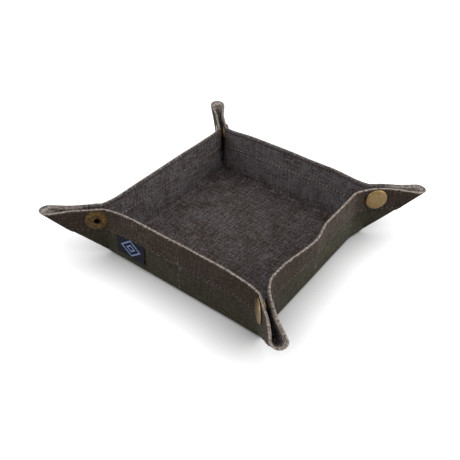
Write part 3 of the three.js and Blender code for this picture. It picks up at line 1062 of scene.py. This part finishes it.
def canvas_finishes(shape, finish):
    """The lining's finish and the outer canvas's."""
    # Lines that get painted shade: the lining's stitch rows, and on the outer canvas the line under the
    # hem's edge.
    seams = (shape.hem_seam, shape.edge_seam, shape.roll_end + shape.roll_start - shape.hem_seam)
    lining = stocked(
        canvas_finish, "waxed_lining", finish.lining, finish.lining_pale, finish.hem_pale, finish, shape,
        seams,
    )
    outer = stocked(
        canvas_finish, "waxed_outside", finish.outer, finish.outer_pale, finish.outer_pale, finish, shape,
        (shape.hem_edge,),
    )
    return lining, outer


def canvas_layers(shape, finish):
    """Each layer's name, rows and finish."""
    lining, outer = canvas_finishes(shape, finish)
    return ("lining", shape.lining_rows(), lining), ("outer", shape.outer_rows(), outer)


# Operators


class TRAY_OT_base(bpy.types.Operator):
    """Make the two layers of the base"""

    bl_idname = "tray.base"
    bl_label = "Base"
    cells = 60
    loose_size = 1.6
    loose_lift = 0.4

    def execute(self, context):
        shape, _, finish = settings(context)
        lining, outer = canvas_finishes(shape, finish)
        self.panel(shape, "lining", shape.inside, lining)
        self.panel(shape, "outer", shape.outside, outer)
        return {"FINISHED"}

    def panel(self, shape, layer, offset, material):
        grid = unit_grid(self.cells, self.cells)
        thicken(grid)
        sheet = grid.loops.layers.uv.new("sheet")
        fade_and_shading = grid.verts.layers.float.new("fade_and_shading")
        inner = grid.verts.layers.float.new("inner")
        side = 2 * shape.fold_start
        half = shape.sheet.cloth / 2
        for vert in grid.verts:
            x = (vert.co.x / self.cells - 0.5) * side
            y = (vert.co.y / self.cells - 0.5) * side
            face = half if vert.co.z < 0.5 else -half
            vert.co = (x, y, shape.mid_height + offset + face + self.swell(shape, layer, x, y))
            # Painted shade: the base's lining is kept less faded, so darker, than the walls.
            vert[fade_and_shading] = shape.sheet.base_fade_and_shading if layer == "lining" else 0
            vert[inner] = layer == "lining"
        for face in grid.faces:
            for loop in face.loops:
                loop[sheet].uv = loop.vert.co.xy
        piece = finished(f"{layer}_canvas_base", grid, material)
        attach(piece, "base")
        stand_in(f"{layer}_base")

    def swell(self, shape, layer, x, y):
        """The lining lies a little loose in the middle of the base."""
        if layer == "outer":
            return 0
        spot = Vector((x, y, 0)) / (self.loose_size * shape.sheet.ripple_size)
        fade = (1 - (x / shape.fold_start) ** 2) * (1 - (y / shape.fold_start) ** 2)
        return shape.sheet.ripple * fade * max(noise.noise(spot) + self.loose_lift, 0)


class TRAY_OT_walls(bpy.types.Operator):
    """Make the four walls, each in two layers with its hem turned over the rim"""

    bl_idname = "tray.walls"
    bl_label = "Walls"

    def execute(self, context):
        shape, _, finish = settings(context)
        for layer, rows, material in canvas_layers(shape, finish):
            for turn, wall in enumerate(WALLS):
                name = f"{layer}_canvas_{wall}_wall"
                piece, flat = canvas_piece(name, shape, turn, rows, shape.wall_stations, material)
                across_fold(piece)
                stand_in(f"{layer}_{wall}_wall")
        return {"FINISHED"}


class TRAY_OT_ears(bpy.types.Operator):
    """Make the four ears: the bend out of a wall, and the loop round the tip to the next wall"""

    bl_idname = "tray.ears"
    bl_label = "Ears"
    hole = 2.9 * MM

    def execute(self, context):
        shape, _, finish = settings(context)
        for layer, rows, material in canvas_layers(shape, finish):
            for turn, corner in enumerate(CORNERS):
                places = (shape.snaps[turn, 1], shape.snaps[(turn + 1) % 4, -1])
                holes = [(place, self.hole) for place in places]
                for part, stations, join, flap, neighbour in (
                    ("bend", shape.bend_stations, across_bend, "cap_flap", f"{WALLS[turn]}_wall"),
                    ("ear", shape.loop_stations, across_tip, "stud_flap", f"{corner}_bend"),
                ):
                    name = f"{layer}_canvas_{corner}_{part}"
                    piece, flat = canvas_piece(name, shape, turn, rows, stations, material, holes)
                    join(shape, turn, piece)
                    stand_in(f"{layer}_{corner}_{flap}")
        return {"FINISHED"}


class TRAY_OT_stitches(bpy.types.Operator):
    """Sew the hem, inside and out, and the row inside the rim"""

    bl_idname = "tray.stitches"
    bl_label = "Stitches"
    slant = math.radians(7)

    def execute(self, context):
        shape, trim, finish = settings(context)
        thread = stocked(thread_finish, "sewing_thread", finish.thread)
        sunk = stocked(thread_finish, "sunk_thread", finish.sunk_thread)
        seams = (
            ("stitches", thread, ((shape.hem_seam, shape.inner_face, 1, trim.thread_radius),)),
            ("sunk_stitches", sunk, (
                (shape.hem_seam, shape.hem_face, -1, trim.sunk_radius),
                (shape.edge_seam, shape.inner_face, 1, trim.sunk_radius),
            )),
        )
        for name, material, runs in seams:
            for turn, wall in enumerate(WALLS):
                self.round(name, material, runs, shape, trim, turn, wall)
        return {"FINISHED"}

    def round(self, name, material, runs, shape, trim, turn, wall):
        """Sews a wall and the ear at its end."""
        corner = CORNERS[turn]
        sewn = {kind: bmesh.new() for kind in ("wall", "cap_flap", "stud_flap")}
        for run in runs:
            self.sew(sewn, shape, trim, turn, *run)
        wall_piece = finished(f"{name}_{wall}_wall", sewn["wall"], material)
        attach(wall_piece, wall_body(turn))
        bend_piece = finished(f"{name}_{corner}_bend", sewn["cap_flap"], material)
        across_bend(shape, turn, bend_piece)
        ear_piece = finished(f"{name}_{corner}_ear", sewn["stud_flap"], material)
        across_tip(shape, turn, ear_piece)
        stand_in(f"hem_thread_{wall}_wall")
        stand_in(f"hem_thread_{corner}_cap_flap")
        stand_in(f"hem_thread_{corner}_stud_flap")

    def sew(self, sewn, shape, trim, turn, out, face, side, radius):
        """Sews one row, from the split at a wall's stud end round the ear at its cap end."""
        cap = shape.contour(out, turn, 1)
        middle = seat_middle(cap)
        split = shape.contour(out, turn, -1).split
        pitch = trim.stitch_pitch
        for along in spaced(-split, out, round((split + out) / pitch)):
            if along < shape.bend_from(turn, out):
                kind = "wall"
            else:
                kind = "cap_flap" if along < middle else "stud_flap"
            self.stitch(sewn[kind], shape, trim, turn, out, along + pitch / 2, face, side, radius)
        split = shape.contour(out, turn + 1, -1).split
        for along in spaced(split, out, round((out - split) / pitch)):
            back = -along - pitch / 2
            self.stitch(sewn["stud_flap"], shape, trim, turn + 1, out, back, face, side, radius)

    def stitch(self, edit, shape, trim, turn, out, along, face, side, radius):
        """Lays one stitch on the canvas, a little aslant, and none where the tip leaves no room."""
        reach = min(trim.stitch / 2, out - abs(along))
        if reach < trim.stitch / 4:
            return
        spot = shape.point(turn, out, along, face)
        ahead = shape.point(turn, out, along + reach, face) - shape.point(turn, out, along - reach, face)
        away = shape.point(turn, out, along, face + side * MM) - spot
        across = away.cross(ahead).normalized()
        away = ahead.cross(across).normalized()
        ahead.normalize()
        basis = Matrix((across, away, ahead)).transposed().to_4x4()
        size = Matrix.Diagonal((radius, radius, trim.stitch / 2, 1))
        place = Matrix.Translation(spot) @ basis @ Matrix.Rotation(self.slant, 4, "Y") @ size
        bmesh.ops.create_uvsphere(edit, u_segments=6, v_segments=4, radius=1, matrix=place)


class TRAY_OT_snaps(bpy.types.Operator):
    """Turn the brass cap, socket, eyelet and stud of each ear"""

    bl_idname = "tray.snaps"
    bl_label = "Snaps"
    cap_dulling = 0.3
    eyelet_dulling = 0.9

    def execute(self, context):
        shape, trim, finish = settings(context)
        cap = stocked(brass_finish, "brushed_brass", finish.cap, finish, self.cap_dulling)
        eyelet = stocked(brass_finish, "mottled_brass", finish.eyelet, finish, self.eyelet_dulling)
        for turn, corner in enumerate(CORNERS):
            cap_place = shape.snaps[turn, 1]
            stud_place = shape.snaps[(turn + 1) % 4, -1]
            for kind, profile, place, material, slot, body in (
                ("cap", self.cap(shape, trim), cap_place, cap, "cap_brass", "cap_flap"),
                ("socket", self.socket(shape, trim), cap_place, cap, "cap_brass", "cap_flap"),
                ("eyelet", self.eyelet(shape, trim), stud_place, eyelet, "eyelet_brass", "stud_flap"),
                ("stud", self.stud(shape, trim), stud_place, eyelet, "eyelet_brass", "stud_flap"),
            ):
                piece = turned_piece(f"brass_{kind}_{corner}", profile, place, material)
                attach(piece, f"{corner}_{body}")
                stand_in(f"{kind}_{corner}")
        return {"FINISHED"}

    def cap(self, shape, trim):
        """A low dome with a rolled edge, on a post through the canvas."""
        seat = -shape.hem_face
        foot = seat + trim.cap_lift
        edge = trim.cap_edge / 2
        post = 1.9 * MM
        clench = 0.5 * MM
        inner = -shape.inner_face - clench
        rolled = [
            (trim.cap_radius - edge + edge * math.cos(a), foot + edge + edge * math.sin(a))
            for a in [math.radians(d) for d in range(-90, 61, 30)]
        ]
        top_radius, top = rolled[-1]
        crown = [
            (top_radius * math.cos(a), top + trim.cap_crown * math.sin(a))
            for a in [math.radians(d) for d in range(10, 90, 10)]
        ]
        return [(0, inner), (post, inner), (post, seat), *rolled, *crown, (0, top + trim.cap_crown)]

    def socket(self, shape, trim):
        """A ring with a rounded foot, whose well takes the stud's knob."""
        face = -shape.inner_face
        foot = face - trim.socket_height
        hole = 2.1 * MM
        web_thickness = 0.45 * MM
        knob_room = 0.15 * MM
        edge = 0.4 * MM
        web = face - web_thickness
        well = trim.knob_radius + knob_room
        radius = trim.socket_radius
        return [(hole, face), (radius - edge, face), (radius, face - edge), (radius, foot + edge),
                (radius - edge, foot), (well + edge, foot), (well, foot + edge), (well, web), (hole, web)]

    def stud(self, shape, trim):
        """A flange with the knob that snaps into the socket."""
        face = -shape.inner_face
        flange = face - trim.stud_flange
        knob = flange - trim.knob_height
        hole = 2.3 * MM
        edge = 0.25 * MM
        radius = trim.socket_radius
        neck = trim.knob_radius - edge
        return [(hole, face), (radius - edge, face), (radius, face - edge), (radius - edge, flange),
                (neck, flange), (trim.knob_radius, (flange + knob) / 2), (neck, knob), (hole, knob)]

    def eyelet(self, shape, trim):
        """A flat washer with a raised lip round its hole and a turned-down edge."""
        seat = -shape.hem_face
        bore = trim.eyelet_bore
        radius = trim.eyelet_radius
        clench = 0.6 * MM
        tube = 0.35 * MM
        clearance = 0.1 * MM
        foot = -shape.inner_face - clench
        low = seat + clearance
        outline = [(bore, foot), (bore + tube, foot), (bore + tube, low), (radius, low)]
        for share_out, lift in (
            (1, 0.25), (0.95, 0.5), (0.85, 0.75), (0.72, 0.85), (0.6, 0.72), (0.5, 0.5),
            (0.42, 0.42), (0.37, 0.6), (0.32, 0.95), (0.27, 1), (0.257, 0.6),
        ):
            outline.append((max(share_out * radius, bore), seat + lift * MM))
        return outline


class TRAY_OT_label(bpy.types.Operator):
    """Hang the plain woven label from under the front hem"""

    bl_idname = "tray.label"
    bl_label = "Label"
    across = 30
    up = 20
    tuck = 0.3 * MM
    stand_off = 0.05 * MM

    def execute(self, context):
        shape, trim, finish = settings(context)
        material = stocked(label_finish, "woven_label", finish, trim)
        grid = unit_grid(self.across, self.up)
        thicken(grid)
        uv = grid.loops.layers.uv.new("label")
        near = trim.label_inset - shape.sheet.base / 2
        foot = shape.hem_edge - trim.label_height
        for face in grid.faces:
            for loop in face.loops:
                across = loop.vert.co.x / self.across
                up = loop.vert.co.y / self.up
                loop[uv].uv = (across * trim.label_width, up * trim.label_height)
        canvas_face = shape.outside - shape.sheet.cloth / 2
        for vert in grid.verts:
            across = vert.co.x / self.across
            up = vert.co.y / self.up
            corner_curl = across ** 6 * (1 - 0.75 * up)
            end_curl = 0.25 * (1 - up) ** 4
            curl = trim.label_curl * (corner_curl + end_curl)
            depth = canvas_face - curl - (0 if vert.co.z < 0.5 else trim.label_cloth) - self.stand_off
            out = foot + up * (trim.label_height + self.tuck)
            vert.co = shape.point(FRONT, out, near + across * trim.label_width, depth)
        piece = finished("label_front_wall", grid, material)
        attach(piece, "front_wall")
        stand_in("woven_label")
        return {"FINISHED"}


class TRAY_OT_stage(bpy.types.Operator):
    """Set the floor, the light and the camera"""

    bl_idname = "tray.stage"
    bl_label = "Stage"

    def execute(self, context):
        stage = context.scene.tray_stage
        self.floor(context, stage)
        self.light(context, stage)
        self.camera(context, stage)
        context.scene.view_settings.view_transform = "Standard"
        return {"FINISHED"}

    def floor(self, context, stage):
        grid = bmesh.new()
        bmesh.ops.create_grid(grid, x_segments=1, y_segments=1, size=stage.floor_side / 2)
        material = stocked(floor_finish, "studio_floor", context.scene.tray_finish, stage)
        finished("floor", grid, material)

    def light(self, context, stage):
        self.lamp(context, "overhead_lamp", stage.lamp_side, stage.lamp_power, (0, 0, stage.lamp_height))
        self.lamp(context, "right_lamp", stage.fill_side, stage.right_power, stage.right_place)
        self.lamp(context, "front_lamp", stage.fill_side, stage.front_power, stage.front_place)
        world = bpy.data.worlds.new("white_studio")
        world.use_nodes = True
        context.scene.world = world
        nodes = Nodes(world.node_tree)
        strength = nodes.add("ShaderNodeMapRange")
        nodes.feed(strength.inputs["Value"], nodes.seen_ray())
        nodes.feed(strength.inputs["To Min"], stage.sky)
        nodes.feed(strength.inputs["To Max"], 1.0)
        sky = world.node_tree.nodes["Background"]
        nodes.feed(sky.inputs["Color"], (1, 1, 1, 1))
        nodes.feed(sky.inputs["Strength"], strength.outputs["Result"])

    def lamp(self, context, name, side, power, place):
        """A square lamp aimed at the tray."""
        lamp = bpy.data.lights.new(name, "AREA")
        lamp.shape = "SQUARE"
        lamp.size = side
        lamp.energy = power
        stand = bpy.data.objects.new(name, lamp)
        aim = Vector(place).to_track_quat("Z", "Y").to_matrix().to_4x4()
        stand.matrix_world = Matrix.Translation(place) @ aim
        context.scene.collection.objects.link(stand)

    def camera(self, context, stage):
        """A camera at the photograph's angle, its axis through the photograph's optical centre."""
        azimuth = stage.azimuth
        lift = stage.elevation
        back = Vector((
            math.sin(azimuth) * math.cos(lift), -math.cos(azimuth) * math.cos(lift), math.sin(lift)
        ))
        right = Vector((math.cos(azimuth), math.sin(azimuth), 0))
        up = back.cross(right)
        tilted = math.cos(stage.roll) * right + math.sin(stage.roll) * up
        upright = math.cos(stage.roll) * up - math.sin(stage.roll) * right
        lens = bpy.data.cameras.new("camera")
        lens.lens = stage.lens
        lens.sensor_width = SENSOR
        lens.shift_x = (IMAGE_SIZE / 2 - stage.centre[0]) / IMAGE_SIZE
        lens.shift_y = (stage.centre[1] - IMAGE_SIZE / 2) / IMAGE_SIZE
        lens.clip_start = 10 * MM
        camera = bpy.data.objects.new("camera", lens)
        turn = Matrix((tilted, upright, back)).transposed().to_4x4()
        target = Vector((0, 0, stage.target_height))
        camera.matrix_world = Matrix.Translation(target + stage.distance * back) @ turn
        context.scene.collection.objects.link(camera)
        context.scene.camera = camera


class TRAY_PT_panel(bpy.types.Panel):
    """Lists the tray's operators and sizes"""

    bl_idname = "TRAY_PT_panel"
    bl_label = "Canvas tray"
    bl_space_type = "VIEW_3D"
    bl_region_type = "UI"
    bl_category = "Tray"

    def draw(self, context):
        for operator in OPERATORS:
            self.layout.operator(operator.bl_idname)
        for name in GROUPS:
            box = self.layout.box()
            group = getattr(context.scene, name)
            for key in group.bl_rna.properties.keys():
                if key not in ("rna_type", "name"):
                    box.prop(group, key)


GROUPS = {
    "tray_sheet": TraySheet,
    "tray_trim": TrayTrim,
    "tray_finish": TrayFinish,
    "tray_stage": TrayStage,
}
OPERATORS = (
    TRAY_OT_stage,
    TRAY_OT_base,
    TRAY_OT_walls,
    TRAY_OT_ears,
    TRAY_OT_stitches,
    TRAY_OT_snaps,
    TRAY_OT_label,
)


def register():
    for name, group in GROUPS.items():
        bpy.utils.register_class(group)
        setattr(bpy.types.Scene, name, bpy.props.PointerProperty(type=group))
    for kind in (*OPERATORS, TRAY_PT_panel):
        bpy.utils.register_class(kind)


def unregister():
    for kind in (TRAY_PT_panel, *reversed(OPERATORS)):
        bpy.utils.unregister_class(kind)
    for name, group in reversed(GROUPS.items()):
        delattr(bpy.types.Scene, name)
        bpy.utils.unregister_class(group)


def main():
    register()
    bpy.ops.tray.stage()
    bpy.ops.tray.base()
    bpy.ops.tray.walls()
    bpy.ops.tray.ears()
    bpy.ops.tray.stitches()
    bpy.ops.tray.snaps()
    bpy.ops.tray.label()


if __name__ == "__main__":
    main()
